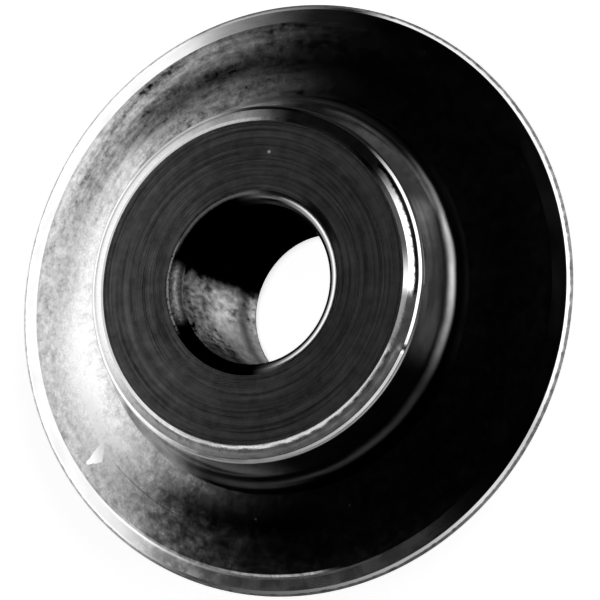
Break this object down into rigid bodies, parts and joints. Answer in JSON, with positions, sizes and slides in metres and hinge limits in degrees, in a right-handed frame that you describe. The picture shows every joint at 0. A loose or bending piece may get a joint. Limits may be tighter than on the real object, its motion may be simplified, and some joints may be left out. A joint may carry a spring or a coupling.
{
  "type": "pipe cutter wheel",
  "caption": "Round hardened steel cutting wheel for a pipe cutter, with a plain bored hub and a thin blade ground to a sharp edge.",
  "frame": {"origin": "centre of the bore in the plane of the cutting edge", "axes": "+Z along the bore, out of one end face; the wheel is the same on both sides, and X and Y lie in the plane of the cutting edge"},
  "size_m": [0.018, 0.018, 0.006],
  "materials": {
    "steel": "turned end faces with fine concentric tool marks, satin flanks, polished ground edge"
  },
  "bodies": {
    "root": {"cutter_wheel": "steel"}
  },
  "joints": []
}
